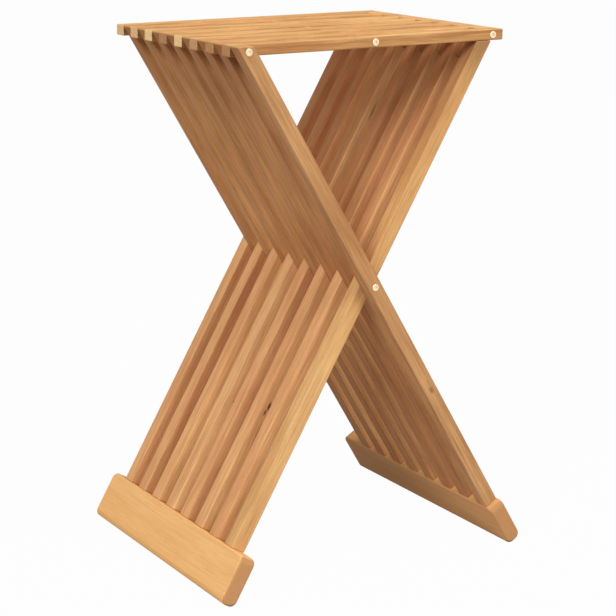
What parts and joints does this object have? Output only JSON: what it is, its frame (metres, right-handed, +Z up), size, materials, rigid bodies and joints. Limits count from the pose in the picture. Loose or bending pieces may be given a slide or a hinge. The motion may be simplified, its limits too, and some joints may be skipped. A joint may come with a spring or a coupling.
{
  "type": "folding stool",
  "caption": "Tall folding stool of oiled wood slats: leg panels cross on a pivot bolt and the hinged slatted seat rests on the prop leg; each leg ends in a wide foot board.",
  "frame": {"origin": "on the floor, midway between the two feet and the foot boards' ends, under the cross pivot", "axes": "+X along the seat slats from the seat's hinge to its free end, +Y across the stool away from the bolt heads, +Z up"},
  "size_m": [0.4628, 0.379, 0.7],
  "materials": {
    "hinge_leg_wood": "oiled hardwood, sanded smooth, satin",
    "prop_leg_wood": "oiled hardwood, sanded smooth, satin",
    "seat_wood": "oiled hardwood, sanded smooth, satin",
    "foot_wood": "oiled hardwood, sanded smooth, satin",
    "spacer_wood": "oiled hardwood, turned or sawn",
    "dowel_wood": "plain fluteless hardwood dowel",
    "bolt_steel": "bright zinc-plated, satin"
  },
  "bodies": {
    "hinge_leg": {"hinge_leg_slat_1": "hinge_leg_wood", "hinge_leg_slat_2": "hinge_leg_wood", "hinge_leg_slat_3": "hinge_leg_wood", "hinge_leg_slat_4": "hinge_leg_wood", "hinge_leg_slat_5": "hinge_leg_wood", "hinge_leg_slat_6": "hinge_leg_wood", "hinge_leg_slat_7": "hinge_leg_wood", "hinge_leg_slat_8": "hinge_leg_wood", "hinge_leg_foot": "foot_wood", "hinge_leg_foot_dowels": "dowel_wood", "seat_hinge_bolt": "bolt_steel", "seat_hinge_nut": "bolt_steel", "cross_pivot_bolt": "bolt_steel", "cross_pivot_nut": "bolt_steel"},
    "prop_leg": {"prop_leg_slat_1": "prop_leg_wood", "prop_leg_slat_2": "prop_leg_wood", "prop_leg_slat_3": "prop_leg_wood", "prop_leg_slat_4": "prop_leg_wood", "prop_leg_slat_5": "prop_leg_wood", "prop_leg_slat_6": "prop_leg_wood", "prop_leg_slat_7": "prop_leg_wood", "prop_leg_slat_8": "prop_leg_wood", "prop_leg_foot": "foot_wood", "prop_leg_foot_dowels": "dowel_wood", "prop_leg_stop_blocks": "spacer_wood", "prop_leg_stop_dowel": "dowel_wood"},
    "seat": {"seat_slat_1": "seat_wood", "seat_slat_2": "seat_wood", "seat_slat_3": "seat_wood", "seat_slat_4": "seat_wood", "seat_slat_5": "seat_wood", "seat_slat_6": "seat_wood", "seat_slat_7": "seat_wood", "seat_slat_8": "seat_wood", "seat_middle_bolt": "bolt_steel", "seat_middle_nut": "bolt_steel", "seat_middle_spacers": "spacer_wood", "seat_end_bolt": "bolt_steel", "seat_end_nut": "bolt_steel", "seat_end_blocks": "spacer_wood"}
  },
  "joints": [
    {"name": "leg_fold", "type": "hinge", "parent": "hinge_leg", "child": "prop_leg", "pos_m": [0, 0, 0.3845], "axis": [0, -1, 0], "range_deg": [0, 56.8]},
    {"name": "seat_fold", "type": "hinge", "parent": "hinge_leg", "child": "seat", "pos_m": [-0.18136, 0, 0.693], "axis": [0, -1, 0], "range_deg": [0, 294.8]}
  ],
  "couplings": [
    {"joint": "seat_fold", "follows": "leg_fold", "ratio": 5.19}
  ]
}
